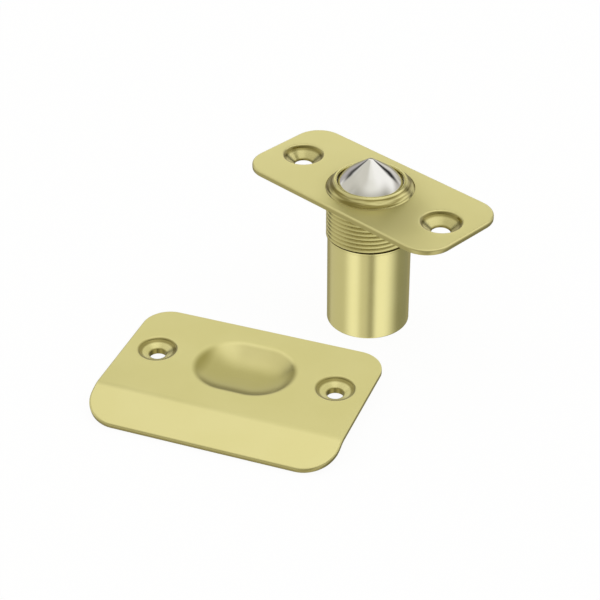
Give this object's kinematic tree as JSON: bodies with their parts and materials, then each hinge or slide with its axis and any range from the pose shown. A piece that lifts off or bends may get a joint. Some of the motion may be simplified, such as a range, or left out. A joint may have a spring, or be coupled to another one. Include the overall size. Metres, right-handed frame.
{
  "type": "ball catch",
  "caption": "Adjustable door catch: a round threaded barrel with a sprung steel nose, screwed through a flat face plate, with a lipped strike plate that has a pressed pocket.",
  "frame": {"origin": "on the barrel's axis, at the outer face of the face plate, midway between its two screw holes", "axes": "+Z along the barrel's axis, out of the door's edge towards the nose; +X along the face plate's length; +Y across it"},
  "size_m": [0.0642, 0.0836, 0.0421],
  "materials": {
    "brass": "satin lacquered brass",
    "bright_steel": "polished hardened steel",
    "spring_steel": "drawn spring wire"
  },
  "bodies": {
    "catch_body": {"barrel": "brass", "end_plug": "brass", "spring": "spring_steel", "strike_plate": "brass"},
    "sprung_bolt": {"bolt": "bright_steel"},
    "face": {"face_plate": "brass"}
  },
  "joints": [
    {"name": "bolt_slide", "type": "slide", "parent": "catch_body", "child": "sprung_bolt", "axis": [0, 0, 1], "range_m": [-0.0053, 0], "stiffness_N_per_m": 2500, "springref_m": 0.005, "deforming": ["spring"]},
    {"name": "plate_adjust", "type": "slide", "parent": "catch_body", "child": "face", "axis": [0, 0, 1], "range_m": [-0.0105, 0]}
  ]
}
